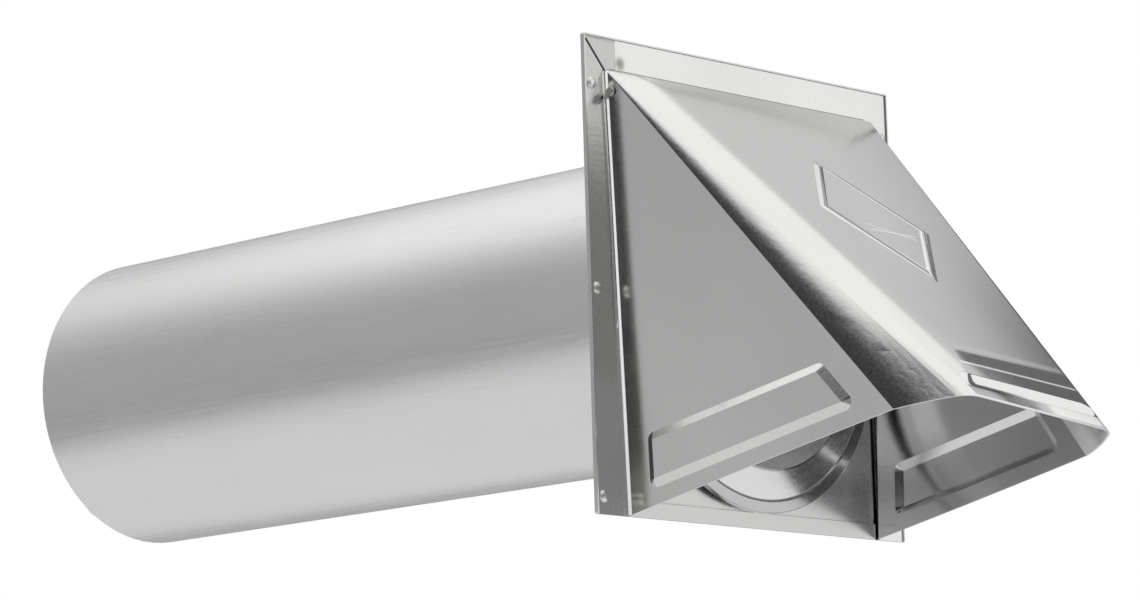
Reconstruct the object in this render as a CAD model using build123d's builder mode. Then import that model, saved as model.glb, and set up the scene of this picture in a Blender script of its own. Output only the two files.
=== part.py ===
from build123d import *
from math import atan2, degrees
import os

# Dryer vent cap of folded aluminium sheet. Millimetres, Z up.
# The origin is the axis of the tail pipe where it crosses the wall: the wall plate lies on Y = 0,
# the hood stands out towards -Y and the tail pipe runs through the wall towards +Y.

# Sheet and wire stock
hood_sheet = 0.5
plate_sheet = 0.5
pipe_wall = 0.4
flap_sheet = 0.4
rod_radius = 1.0

# Wall plate
plate_height = 150.0
plate_corner_radius = 0.6
plate_edge_turn = 1.5
plate_edge_play = 0.1
bottom_hem = 5.0
pipe_hole_play = 0.2

# Hood, outside of the sheet, depths taken from the front of its flanges
flange_top = 10.0
flange_side = 8.8
roof_flare = 4.9
side_depth = 96.3
side_taper = 17.4
lip_depth = 115.4
lip_taper = 30.7
lip_height = -51.9
lip_rack = 2.9
facet_crown = 1.1
lip_bend_radius = 9.0
fold_radius = 1.6
tip_height = 0.5
mitre_gap = 0.6
mitre_setback = 1.0

# Pressed forms: raised outwards, with sloping sides
side_form_height = 1.6
side_form_bevel = 2.6
side_form_radius = 2.7
side_form_root_margin = 10.4
side_form_edge_margin = 5.0
side_form_top_margin = 21.8
side_form_length = 78.0
diamond_half_width = 23.7
diamond_half_length = 30.4
diamond_lean = 2.5
diamond_shift = 8.8
diamond_drop = 46.7
diamond_height = 0.6
diamond_bevel = 2.0
diamond_radius = 0.8
rib_length = 62.0
rib_width = 6.6
rib_height = 1.2
rib_bevel = 2.8
rib_slump = 1.2
rib_shift = 2.2
rib_drop = 110.3
form_skirt = 0.25

# Rivets that hold the flanges to the wall plate
rivet_head_radius = 1.9
rivet_head_height = 0.8
rivet_shank_radius = 1.1
rivet_hole_play = 0.05
rivet_edge_distance = 3.2
rivet_pitch = 64.5
rivet_centre = -5.0

# Share of the height of a rivet's or the rod's head that its rounded edge takes
head_round = 0.8

# Tail pipe
pipe_radius = 50.8
pipe_length = 290.0
collar_height = 2.4
hem_play = 0.05
hem_clearance = 0.4
hem_reach = 4.5
seam_start = 3.0
seam_width = 7.0
seam_height = 0.3
seam_ramp = 2.7
seam_root = 0.1
seam_angle = -125.0

# Damper flap, hung from a rod along its top edge
rod_clearance = 5.05
rod_hole_play = 0.1
rod_head_radius = 1.6
rod_head_length = 0.6
rod_head_play = 0.3
curl_play = 0.1
curl_half_length = 50.0
curl_gap = 0.8
flap_cover = 3.55
flap_room = 3.8
flap_shoulder_drop = 8.0
flap_round_centre = -15.0
flap_rest_play = 0.1
flap_rim_depth = 1.2
dish_band = 4.4
dish_top = 44.0
dish_bevel = 9.4
dish_height = 2.5
dish_corner_radius = 14.0

# How far a cutting solid runs past what it cuts
clear = 3.0

# Widths and heights that follow from the pipe: its hem, the flap over it, the hood over the flap
pipe_hole_radius = pipe_radius + pipe_hole_play
hem_radius = pipe_hole_radius + plate_sheet + hem_play + pipe_wall
rod_height = hem_radius + rod_clearance
flap_shoulder = rod_height - flap_shoulder_drop
flap_half_width = hem_radius + flap_cover
foot_half_width = flap_half_width + flap_room
roof_half_width = foot_half_width + roof_flare
side_half_width = roof_half_width - side_taper
lip_half_width = roof_half_width - lip_taper
plate_width = 2 * (roof_half_width + flange_side)

# Planes and heights that the pieces share
plate_front = -plate_sheet
flange_front = plate_front - hood_sheet
plate_top = plate_height / 2
plate_foot = -plate_height / 2
roof_root = plate_top - flange_top
flap_back = -hem_reach - flap_rest_play
flap_front = flap_back - flap_sheet
curl_bore = rod_radius + curl_play
curl_radius = curl_bore + flap_sheet
rod_y = flap_front + curl_radius

# Corners of the hood's outer skin, left (-1) and right (1)
apex = {s: Vector(s * roof_half_width, flange_front, roof_root) for s in (-1, 1)}
foot = {s: Vector(s * foot_half_width, flange_front, plate_foot) for s in (-1, 1)}


def mouth_height(x, y):
    """Height of the hood's open edge, which climbs from the plate's foot to the racked lip."""
    reach = (flange_front - y) / lip_depth
    return plate_foot + reach * (lip_height - plate_foot - lip_rack * x / lip_half_width)


def mouth_point(side, half_width, depth):
    """A corner of the open edge."""
    x = side * half_width
    y = flange_front - depth
    return Vector(x, y, mouth_height(x, y))


side_end = {s: mouth_point(s, side_half_width, side_depth) for s in (-1, 1)}
lip_end = {s: mouth_point(s, lip_half_width, lip_depth) for s in (-1, 1)}


def at_height(start, end, z):
    """The point at height z on the line from start through end."""
    return start + (end - start) * ((start.Z - z) / (start.Z - end.Z))


def corners_at(side, z, drop, inwards):
    """One side's flange, side end and lip corners at height z, on the plane Z = 0."""
    points = [at_height(apex[side], end[side], z + drop) for end in (foot, side_end, lip_end)]
    return [point - Vector(side * inwards, 0, point.Z) for point in points]


def hood_outline(z, drop, inwards, front, back):
    """The hood's outline at height z, lowered and drawn in, with its bends out into the flanges.

    The flange stubs at its ends lie between the planes front and back.
    """
    foot_l, side_l, lip_l = corners_at(-1, z, drop, inwards)
    foot_r, side_r, lip_r = corners_at(1, z, drop, inwards)
    reach = (front - flange_front) / (foot_l.Y - side_l.Y)
    fold_l = foot_l + (foot_l - side_l) * reach
    fold_r = foot_r + (foot_r - side_r) * reach
    scale = (roof_root - z - drop) / (roof_root - lip_height)
    with BuildSketch(Plane.XY.offset(z)) as outline:
        with BuildLine():
            Line(fold_l, side_l)
            crowned_facet(side_l, lip_l, facet_crown * scale)
            Line(lip_l, lip_r)
            crowned_facet(lip_r, side_r, facet_crown * scale)
            Line(side_r, fold_r)
            Polyline(
                fold_r,
                fold_r + Vector(clear, 0),
                Vector(fold_r.X + clear, back),
                Vector(fold_l.X - clear, back),
                fold_l - Vector(clear, 0),
                fold_l,
            )
        make_face()
        folds = [outline.vertices().sort_by_distance(corner)[0] for corner in (fold_l, fold_r)]
        fillet(folds, (fold_radius + front - flange_front) * scale)
        lip_corners = vertices().sort_by(Axis.Y)[:4].sort_by(Axis.X)[1:3]
        fillet(lip_corners, lip_bend_radius * scale)
    return outline.sketch


def crowned_facet(start, end, crown):
    """Shallow arc across the facet between the side and the roof."""
    way = (end - start).normalized()
    outwards = Vector(way.Y, -way.X)
    ThreePointArc(start, (start + end) / 2 + outwards * crown, end)


def roof_plane(x, z):
    """Plane that lies on the roof at x and height z: X across, Y up the slope, Z outwards."""
    left = at_height(apex[-1], lip_end[-1], z)
    right = at_height(apex[1], lip_end[1], z)
    share = (x - left.X) / (right.X - left.X)
    across = (right - left).normalized()
    fall = {s: (lip_end[s] - apex[s]) / (apex[s].Z - lip_end[s].Z) for s in (-1, 1)}
    down = fall[-1] * (1 - share) + fall[1] * share
    return Plane(left + (right - left) * share, x_dir=across, z_dir=down.cross(across))


def side_plane(side):
    """Plane that lies on a side panel: origin at its foot, X along its lower edge, Z outwards."""
    along = side_end[side] - foot[side]
    normal = along.cross(apex[side] - foot[side]) * -side
    return Plane(foot[side], x_dir=along, z_dir=normal)


def side_reach(side, y, z):
    """X of a side panel's outer face at y and z."""
    normal = side_plane(side).z_dir
    corner = apex[side]
    return corner.X - (normal.Y * (y - corner.Y) + normal.Z * (z - corner.Z)) / normal.X


def pressed_form(plane, face, height, bevel, slump=0.0):
    """Solid under a pressed form on the plane: the face is its foot, its sides run in by the bevel.

    Its crest lies lower down the plane than its foot by the slump.
    """
    with BuildPart() as form:
        with BuildSketch(plane.offset(-form_skirt)):
            add(face.moved(Location((0, slump * form_skirt / height, 0))))
            offset(amount=form_skirt * bevel / height)
        with BuildSketch(plane.offset(height)):
            add(face.moved(Location((0, -slump, 0))))
            offset(amount=-bevel)
        loft(ruled=True)
    return form.part


def side_form_face(side):
    """Parallelogram along a side panel's lower edge, its front end in line with the roof corner."""
    plane = side_plane(side)
    peak = plane.to_local_coords(apex[side])
    ridge = peak - plane.to_local_coords(side_end[side])
    up = -side
    rise = side_form_top_margin - side_form_edge_margin
    root = side_form_root_margin + rise * abs(peak.X / peak.Y)
    front = side_form_root_margin + side_form_length
    lean = rise * ridge.X / abs(ridge.Y)
    with BuildSketch() as face:
        with BuildLine():
            Polyline(
                (side_form_root_margin, up * side_form_edge_margin),
                (front, up * side_form_edge_margin),
                (front + lean, up * side_form_top_margin),
                (root, up * side_form_top_margin),
                close=True,
            )
        make_face()
        fillet(vertices(), side_form_radius)
    return face.sketch


# Plain leaning rhombus with its long axis up the roof, and the round-ended rib that follows the lip
diamond_plane = roof_plane(diamond_shift, roof_root - diamond_drop)
rib_plane = roof_plane(rib_shift, roof_root - rib_drop)
lip_way = rib_plane.to_local_coords(lip_end[1]) - rib_plane.to_local_coords(lip_end[-1])
with BuildSketch() as diamond_face:
    with BuildLine():
        Polyline(
            (-diamond_half_width, diamond_lean),
            (diamond_lean, -diamond_half_length),
            (diamond_half_width, -diamond_lean),
            (-diamond_lean, diamond_half_length),
            close=True,
        )
    make_face()
    fillet(vertices(), diamond_radius)
with BuildSketch() as rib_face:
    SlotOverall(rib_length, rib_width, rotation=degrees(atan2(lip_way.Y, lip_way.X)))

# Solid between the two skins' outlines, from a sliver at the roof's root to below the mouth
mouth_clear = plate_foot - clear
root_sliver = roof_root - tip_height


def hood_hull(drop, inwards, front, back, foot_z):
    """Closed hull of the hood from the sliver at its top to height foot_z."""
    outlines = [hood_outline(z, drop, inwards, front, back) for z in (root_sliver - drop, foot_z)]
    with BuildPart() as hull:
        loft(outlines, ruled=True)
    return hull.part


# The inner skin is the outer one moved down and in until the sheet lies between them
roof_normal = roof_plane(0, lip_height).z_dir
side_normal = side_plane(-1).z_dir
inner_drop = hood_sheet / roof_normal.Z
inner_inset = (inner_drop * side_normal.Z - hood_sheet) / side_normal.X
outer_hull = hood_hull(0, 0, flange_front, plate_front, mouth_clear)
inner_hull = hood_hull(inner_drop, inner_inset, plate_front, plate_front + clear, mouth_clear - clear)

# Everything below the open edge, with the edge's twist as its upper face
cut_near = flange_front + clear
cut_far = flange_front - 1.5 * lip_depth
cut_low = mouth_clear - 2 * clear
with BuildPart() as mouth_cut:
    for x in (-plate_width / 2, plate_width / 2):
        with BuildSketch(Plane.YZ.offset(x)):
            with BuildLine():
                Polyline(
                    (cut_near, plate_foot),
                    (flange_front, plate_foot),
                    (cut_far, mouth_height(x, cut_far)),
                    (cut_far, cut_low),
                    (cut_near, cut_low),
                    close=True,
                )
            make_face()
    loft(ruled=True)

# Hood: one folded sheet with its roof, sides, corner facets and three flanges
flange_inset = plate_sheet + plate_edge_play
flange_half = plate_width / 2 - flange_inset
flange_height = plate_height - flange_inset
forms = [
    (pressed_form(rib_plane, rib_face.sketch, rib_height, rib_bevel, rib_slump), rib_plane),
    (pressed_form(diamond_plane, diamond_face.sketch, diamond_height, diamond_bevel), diamond_plane),
]
for side in (-1, 1):
    plane = side_plane(side)
    forms.append((pressed_form(plane, side_form_face(side), side_form_height, side_form_bevel), plane))

with BuildPart() as hood:
    with BuildSketch(Plane.XZ.offset(-plate_front)):
        with Locations((0, plate_foot + flange_height / 2)):
            Rectangle(2 * flange_half, flange_height)
    extrude(amount=hood_sheet)
    add(outer_hull)
    add(inner_hull, mode=Mode.SUBTRACT)
    add(mouth_cut.part, mode=Mode.SUBTRACT)
    for form, plane in forms:
        add(form)
        inwards = plane.z_dir * -hood_sheet
        add(form.moved(Location(inwards)), mode=Mode.SUBTRACT)
    # open mitre between the top flange and each side flange
    for side in (-1, 1):
        inner = Vector(side * (roof_half_width + mitre_setback), roof_root + mitre_setback)
        outer = Vector(side * (flange_half + clear), plate_top - flange_inset + clear)
        way = outer - inner
        with BuildSketch(Plane.XZ.offset(-plate_front - hood_sheet / 2)):
            with Locations((inner + outer) / 2):
                Rectangle(way.length, mitre_gap, rotation=degrees(atan2(way.Y, way.X)))
        extrude(amount=hood_sheet, both=True, mode=Mode.SUBTRACT)
    # holes for the damper rod
    with BuildSketch(Plane.YZ):
        with Locations((rod_y, rod_height)):
            Circle(rod_radius + rod_hole_play)
    extrude(amount=plate_width, both=True, mode=Mode.SUBTRACT)
    # holes for the rivets
    rivet_x = plate_width / 2 - rivet_edge_distance
    rivet_spots = [(s * rivet_x, rivet_centre + k * rivet_pitch) for s in (-1, 1) for k in (-1, 0, 1)]
    with BuildSketch(Plane.XZ.offset(-plate_front)):
        with Locations(*rivet_spots):
            Circle(rivet_shank_radius + rivet_hole_play)
    extrude(amount=hood_sheet, mode=Mode.SUBTRACT)
hood.part.label = "hood"

# Wall plate: flat sheet with the pipe hole drawn forwards into a collar, its sides and top turned up
# round the hood's flanges and its foot folded up flat between them
with BuildPart() as wall_plate:
    with BuildSketch(Plane.XZ):
        Rectangle(plate_width, plate_height)
        fillet(vertices(), plate_corner_radius)
    extrude(amount=plate_edge_turn)
    with BuildSketch(Plane.XZ.offset(plate_sheet)):
        with Locations((0, -plate_sheet)):
            Rectangle(plate_width - 2 * plate_sheet, plate_height)
    extrude(amount=plate_edge_turn, mode=Mode.SUBTRACT)
    with BuildSketch(Plane.XZ.offset(plate_sheet)):
        with Locations((0, plate_foot + bottom_hem / 2)):
            Rectangle(2 * (foot_half_width - hood_sheet - plate_edge_play), bottom_hem)
    extrude(amount=plate_sheet)
    with BuildSketch(Plane.XZ.offset(plate_sheet)):
        Circle(pipe_hole_radius + plate_sheet)
    extrude(amount=collar_height)
    with BuildSketch(Plane.XZ):
        Circle(pipe_hole_radius)
        with Locations(*rivet_spots):
            Circle(rivet_shank_radius + rivet_hole_play)
    extrude(amount=plate_sheet + collar_height, mode=Mode.SUBTRACT)
wall_plate.part.label = "wall_plate"

# Tail pipe: rolled tube, its front end hemmed back over the plate's collar, with a lapped lock seam
pipe_tail = pipe_length + flange_front
wall_centre = pipe_radius - pipe_wall / 2
hem_centre = hem_radius - pipe_wall / 2
hem_turn = (hem_centre - wall_centre) / 2
hem_start = -hem_reach + pipe_wall / 2 + hem_turn
hem_end = plate_front - hem_clearance
seam_foot = degrees(seam_width / 2 / pipe_radius)
seam_crest = degrees((seam_width / 2 - seam_ramp) / pipe_radius)
with BuildPart() as tail_pipe:
    with BuildSketch(Plane.XY):
        with BuildLine() as wall_line:
            Line((wall_centre, pipe_tail), (wall_centre, hem_start))
            crest = (wall_centre + hem_turn, hem_start - hem_turn)
            ThreePointArc((wall_centre, hem_start), crest, (hem_centre, hem_start))
            Line((hem_centre, hem_start), (hem_centre, hem_end))
        trace(wall_line.line, line_width=pipe_wall)
    revolve(axis=Axis.Y)
    with BuildSketch(Plane.XZ.offset(-pipe_tail)):
        with BuildLine():
            inner_arc = CenterArc((0, 0), pipe_radius - seam_root, seam_angle - seam_foot, 2 * seam_foot)
            outer_arc = CenterArc((0, 0), pipe_radius + seam_height, seam_angle - seam_crest, 2 * seam_crest)
            Line(inner_arc @ 0, outer_arc @ 0)
            Line(inner_arc @ 1, outer_arc @ 1)
        make_face()
    extrude(amount=pipe_tail - seam_start)
tail_pipe.part.label = "tail_pipe"

# Damper rod: wire through both side panels, its ends peened into heads outside them
rod_ends = [side_reach(s, rod_y, rod_height) + s * rod_head_play for s in (-1, 1)]
with BuildPart() as damper_rod:
    with BuildSketch(Plane.YZ.offset(rod_ends[0])):
        with Locations((rod_y, rod_height)):
            Circle(rod_radius)
    extrude(amount=rod_ends[1] - rod_ends[0])
    for side, end in zip((-1, 1), rod_ends):
        with BuildSketch(Plane.YZ.offset(end)):
            with Locations((rod_y, rod_height)):
                Circle(rod_head_radius)
        extrude(amount=side * rod_head_length)
    head_faces = faces().filter_by(Axis.X).sort_by(Axis.X)
    fillet([head_faces[0].edge(), head_faces[-1].edge()], rod_head_length * head_round)
damper_rod.part.label = "damper_rod"

# Damper flap: round-footed sheet with a raised dish, a rim turned back round its edge and its top
# edge curled round the rod
with BuildSketch() as dish_face:
    with Locations((0, flap_round_centre)):
        Circle(flap_half_width - dish_band)
    with Locations((0, (flap_round_centre + dish_top) / 2)):
        Rectangle(2 * (flap_half_width - dish_band), dish_top - flap_round_centre)
    fillet(vertices().group_by(Axis.Y)[-1], dish_corner_radius)
flap_plane = Plane.XZ.offset(-flap_front)
dish = pressed_form(flap_plane, dish_face.sketch, dish_height, dish_bevel)

with BuildPart() as damper_flap:
    with BuildSketch(flap_plane):
        with Locations((0, flap_round_centre)):
            Circle(flap_half_width)
        with Locations((0, (flap_round_centre + flap_shoulder) / 2)):
            Rectangle(2 * flap_half_width, flap_shoulder - flap_round_centre)
    extrude(amount=-flap_sheet - flap_rim_depth)
    with BuildSketch(flap_plane.offset(-flap_sheet)):
        with Locations((0, flap_round_centre)):
            Circle(flap_half_width - flap_sheet)
        with Locations((0, (flap_round_centre + rod_height) / 2)):
            Rectangle(2 * (flap_half_width - flap_sheet), rod_height - flap_round_centre)
    extrude(amount=-flap_rim_depth, mode=Mode.SUBTRACT)
    with BuildSketch(flap_plane):
        with Locations((0, (flap_shoulder + rod_height) / 2)):
            Rectangle(2 * curl_half_length, rod_height - flap_shoulder)
    extrude(amount=-flap_sheet)
    add(dish)
    add(dish.moved(Location((0, flap_sheet, 0))), mode=Mode.SUBTRACT)
    with BuildSketch(Plane.YZ):
        with Locations((rod_y, rod_height)):
            Circle(curl_radius)
            Circle(curl_bore, mode=Mode.SUBTRACT)
        with Locations((rod_y + curl_gap / 2, rod_height - curl_radius)):
            Rectangle(curl_gap, 2 * flap_sheet + curl_play, mode=Mode.SUBTRACT)
    extrude(amount=curl_half_length, both=True)
damper_flap.part.label = "damper_flap"

# Edge rivets: domed heads on the side flanges, their tails set flush with the back of the plate
with BuildPart() as edge_rivets:
    with BuildSketch(Plane.XZ):
        with Locations(*rivet_spots):
            Circle(rivet_shank_radius)
    extrude(amount=-flange_front)
    with BuildSketch(Plane.XZ.offset(-flange_front)):
        with Locations(*rivet_spots):
            Circle(rivet_head_radius)
    extrude(amount=rivet_head_height)
    fillet(edges().group_by(Axis.Y)[0], rivet_head_height * head_round)
edge_rivets.part.label = "edge_rivets"

os.makedirs("parts", exist_ok=True)
for piece in (hood, wall_plate, tail_pipe, damper_rod, damper_flap, edge_rivets):
    export_step(piece.part, f"parts/{piece.part.label}.step")
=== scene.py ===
"""Looks of a dryer vent cap: folded bright sheet, a damper flap on a wire, and a long tail pipe."""

import logging
import math
from dataclasses import dataclass
from enum import Enum

import bmesh
import bpy
from mathutils import Matrix, Vector


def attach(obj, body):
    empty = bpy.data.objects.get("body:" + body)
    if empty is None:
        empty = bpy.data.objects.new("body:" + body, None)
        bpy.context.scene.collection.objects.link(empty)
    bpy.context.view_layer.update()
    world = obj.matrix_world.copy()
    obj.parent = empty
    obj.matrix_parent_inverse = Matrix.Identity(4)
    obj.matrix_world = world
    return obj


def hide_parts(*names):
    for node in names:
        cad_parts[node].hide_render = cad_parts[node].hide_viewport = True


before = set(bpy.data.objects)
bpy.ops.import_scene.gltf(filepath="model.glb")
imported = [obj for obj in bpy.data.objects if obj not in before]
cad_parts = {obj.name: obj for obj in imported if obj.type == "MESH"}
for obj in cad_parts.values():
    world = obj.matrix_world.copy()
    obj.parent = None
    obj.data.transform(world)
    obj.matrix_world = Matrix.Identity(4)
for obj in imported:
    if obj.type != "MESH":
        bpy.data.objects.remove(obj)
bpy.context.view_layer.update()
log = logging.getLogger("vent_cap")

Socket = bpy.types.NodeSocket
Value = Socket | float | tuple[float, ...]
Inputs = dict[int | str, Value]
Point = tuple[float, float, float]
Span = tuple[float, float]
Levels = tuple[Span, ...]

MM = 0.001
MITRE_POINT = (0.06885, 0.0, 0.07004)
MITRE_ACROSS = (-0.747, 0.0, 0.665)
# Tone of the painted shade laid in open joints, folds and creases.
JOINT_SHADE_TONE = 0.04
JOINT_EDGE = (0.7, 1.3)
ACROSS_Y = (1.0, 0.0, 1.0)
WHITE = (1.0, 1.0, 1.0, 1.0)


class Body(str, Enum):
    """The rigid bodies that this script's own pieces ride on."""

    CAP = "cap"


class Slot(str, Enum):
    """Material slots of the record."""

    HOOD = "hood_sheet"
    PLATE = "plate_sheet"
    PIPE = "pipe_sheet"
    FLAP = "flap_sheet"
    ROD = "rod_wire"
    RIVET = "rivet_metal"


class Grain(Enum):
    """Direction in which a sheet was rolled, as the stretch of its marks."""

    ALONG_Y = (1.0, 0.05, 1.0)
    EVEN = (1.0, 1.0, 1.0)


@dataclass
class NodeTree:
    """Short hand for building a node tree: adds nodes with their values and joins them."""

    tree: bpy.types.NodeTree

    def add(self, kind: str, inputs: Inputs | None = None, **settings: object) -> bpy.types.Node:
        """Adds a node.

        Args:
            kind: The node's Blender type.
            inputs: Values or sockets by input name or index.
            settings: Attributes of the node itself.

        Returns:
            The new node.
        """
        node = self.tree.nodes.new(kind)
        for name, value in settings.items():
            setattr(node, name, value)
        for key, value in (inputs or {}).items():
            self.feed(node.inputs[key], value)
        return node

    def feed(self, socket: Socket, value: Value) -> None:
        """Joins a socket to an input, or sets the input's own value.

        Args:
            socket: The input.
            value: An output socket, or a plain value.
        """
        if isinstance(value, Socket):
            self.tree.links.new(value, socket)
        else:
            socket.default_value = value

    def math(self, operation: str, *values: Value, clamp: bool = False) -> Socket:
        """Adds a Math node.

        Args:
            operation: Its operation.
            values: Its operands, as sockets or numbers.
            clamp: Whether the result stays from 0 to 1.

        Returns:
            The result's socket.
        """
        inputs = dict(enumerate(values))
        return self.add("ShaderNodeMath", inputs, operation=operation, use_clamp=clamp).outputs[0]

    def chain(self, operation: str, *values: Value) -> Socket:
        """Runs an operation of two numbers over several, from the first to the last.

        Args:
            operation: The operation.
            values: The numbers, at least two.

        Returns:
            The result's socket.
        """
        result = values[0]
        for value in values[1:]:
            result = self.math(operation, result, value)
        return result

    def product(self, *values: Value) -> Socket:
        """Multiplies numbers."""
        return self.chain("MULTIPLY", *values)

    def total(self, *values: Value) -> Socket:
        """Adds numbers."""
        return self.chain("ADD", *values)

    def larger(self, *values: Value) -> Socket:
        """Finds the largest of some numbers."""
        return self.chain("MAXIMUM", *values)

    def gap(self, value: Value, level: Value) -> Socket:
        """Finds how far a number is from a level, to either side."""
        return self.math("ABSOLUTE", self.math("SUBTRACT", value, level))

    def length(self, across: Value, along: Value) -> Socket:
        """Finds the length of an offset from its two parts."""
        return self.math("SQRT", self.total(self.product(across, across), self.product(along, along)))

    def vector(self, operation: str, *values: Value) -> Socket:
        """Adds a Vector Math node.

        Args:
            operation: Its operation.
            values: Its operands, as sockets, vectors or the factor of a SCALE.

        Returns:
            The result's socket: a number for a DOT_PRODUCT, else a vector.
        """
        node = self.add("ShaderNodeVectorMath", operation=operation)
        last = "Scale" if operation == "SCALE" else 1
        for key, value in zip((0, last), values):
            self.feed(node.inputs[key], value)
        return node.outputs["Value" if operation == "DOT_PRODUCT" else "Vector"]

    def split(self, place: Value) -> bpy.types.bpy_prop_collection:
        """Splits a vector into its X, Y and Z."""
        return self.add("ShaderNodeSeparateXYZ", {0: place}).outputs

    def join(self, **axes: Value) -> Socket:
        """Joins X, Y and Z to a vector, with 0 for an axis that is left out."""
        return self.add("ShaderNodeCombineXYZ", axes).outputs[0]

    def flat_distance(self, place: Value, centre: Point) -> Socket:
        """Measures how far a place is from a line along Y.

        Args:
            place: The place.
            centre: A point of the line.

        Returns:
            The distance's socket.
        """
        flat = self.vector("MULTIPLY", self.vector("SUBTRACT", place, centre), ACROSS_Y)
        return self.math("SQRT", self.vector("DOT_PRODUCT", flat, flat))

    def profile(self, share: Value, levels: Levels) -> Socket:
        """Reads a level off straight lines through the given points.

        Args:
            share: Where to read, from 0 to 1.
            levels: Position and level of each point, levels from 0 to 1.

        Returns:
            The level's socket.
        """
        ramp = self.add("ShaderNodeValToRGB", {"Fac": share})
        set_stops(ramp.color_ramp, levels)
        return self.add("ShaderNodeSeparateColor", {0: ramp.outputs["Color"]}).outputs["Red"]

    def lean_profile(self, share: Value, levels: Levels) -> Socket:
        """Reads a lean off a profile whose level of 0.5 stands for upright."""
        return self.math("SUBTRACT", self.profile(share, levels), 0.5)

    def place(self, group: str, values: dict[str, Value]) -> bpy.types.bpy_prop_collection:
        """Adds a shared node group.

        Args:
            group: The group's name.
            values: Values or sockets by input name.

        Returns:
            The group's outputs.
        """
        node = self.add("ShaderNodeGroup", node_tree=bpy.data.node_groups[group])
        for name, value in values.items():
            self.feed(node.inputs[name], value)
        return node.outputs

    def blend_colours(self, share: Value, under: Value, over: Value) -> Socket:
        """Blends one colour over another.

        Args:
            share: How much of the upper colour shows.
            under: The lower colour.
            over: The upper colour.

        Returns:
            The blend's socket.
        """
        inputs = {0: share, 6: under, 7: over}
        return self.add("ShaderNodeMix", inputs, data_type="RGBA").outputs[2]

    def tint(self, share: Value, colour: Value, tone: float) -> Socket:
        """Blends a grey of the given tone over a colour."""
        return self.blend_colours(share, colour, (tone, tone, tone, 1.0))

    def turn(self, share: Value, normal: Value, facing: Point) -> Socket:
        """Turns a normal towards a set facing by the given share."""
        inputs = {"Factor": share, 4: normal, 5: facing}
        return self.add("ShaderNodeMix", inputs, data_type="VECTOR").outputs[1]

    def remap(self, value: Value, low: float, high: float, to_low: float, to_high: float) -> Socket:
        """Moves a value smoothly from one range to another.

        Args:
            value: The value's socket.
            low: Where the change starts.
            high: Where the change ends.
            to_low: The result up to the start.
            to_high: The result from the end on.

        Returns:
            The result's socket.
        """
        inputs = {"Value": value, "From Min": low, "From Max": high, "To Min": to_low, "To Max": to_high}
        return self.add("ShaderNodeMapRange", inputs, interpolation_type="SMOOTHSTEP").outputs["Result"]

    def rise(self, value: Value, span: Span) -> Socket:
        """Climbs smoothly from 0 to 1 over a span of the value."""
        return self.remap(value, *span, 0.0, 1.0)

    def fall(self, value: Value, span: Span) -> Socket:
        """Drops smoothly from 1 to 0 over a span of the value."""
        return self.remap(value, *span, 1.0, 0.0)

    def band(self, value: Value, level: Value, edge: Span) -> Socket:
        """Marks a soft band about a level.

        Args:
            value: The value's socket.
            level: The band's middle.
            edge: How far from the middle the band starts to fade, and where it ends.

        Returns:
            The mask, 1 in the band.
        """
        return self.fall(self.gap(value, level), edge)


def new_group(name: str, inputs: dict[str, float | tuple], outputs: dict[str, str]) -> NodeTree:
    """Starts a shader node group.

    Args:
        name: The group's name.
        inputs: Default values by input name; a tuple makes a vector input.
        outputs: Socket types by output name.

    Returns:
        The group's tree, without its inner nodes.
    """
    tree = bpy.data.node_groups.new(name, "ShaderNodeTree")
    for label, value in inputs.items():
        kind = "NodeSocketVector" if isinstance(value, tuple) else "NodeSocketFloat"
        tree.interface.new_socket(label, in_out="INPUT", socket_type=kind).default_value = value
    for label, kind in outputs.items():
        tree.interface.new_socket(label, in_out="OUTPUT", socket_type=kind)
    return NodeTree(tree)


def rolled_sheet_group() -> bpy.types.NodeTree:
    """Builds the surface of rolled sheet metal: fine grain, slight waves and small handling marks.

    Returns:
        The group; its Height is in metres.
    """
    inputs = {
        "Place": (0.0, 0.0, 0.0),
        "Stretch": (1.0, 1.0, 1.0),
        "Grain Size": 0.0012,
        "Grain Depth": 1e-6,
        "Wave Size": 0.04,
        "Wave Depth": 4e-5,
        "Mottle Size": 0.006,
        "Mottle Depth": 4e-6,
    }
    outputs = {"Height": "NodeSocketFloat", "Cloud": "NodeSocketFloat", "Streak": "NodeSocketFloat"}
    group = new_group("rolled_sheet", inputs, outputs)
    ins = group.add("NodeGroupInput").outputs

    def noise(place: Socket, size: Socket, detail: float) -> Socket:
        """Makes noise from -0.5 to 0.5.

        Args:
            place: Where to read it.
            size: The size of its features.
            detail: How many finer layers it has.

        Returns:
            The noise's socket.
        """
        scale = group.math("DIVIDE", 1.0, size)
        found = group.add("ShaderNodeTexNoise", {"Vector": place, "Scale": scale, "Detail": detail})
        return group.math("SUBTRACT", found.outputs["Fac"], 0.5)

    streak = noise(group.vector("MULTIPLY", ins["Place"], ins["Stretch"]), ins["Grain Size"], 3.0)
    wave = noise(ins["Place"], ins["Wave Size"], 1.0)
    mottle = noise(ins["Place"], ins["Mottle Size"], 2.0)
    fine = group.product(streak, ins["Grain Depth"])
    broad = group.product(wave, ins["Wave Depth"])
    results = {
        "Height": group.total(fine, broad, group.product(mottle, ins["Mottle Depth"])),
        "Cloud": group.math("ADD", wave, 0.5, clamp=True),
        "Streak": group.math("ADD", streak, 0.5, clamp=True),
    }
    group.add("NodeGroupOutput", results)
    return group.tree


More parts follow.
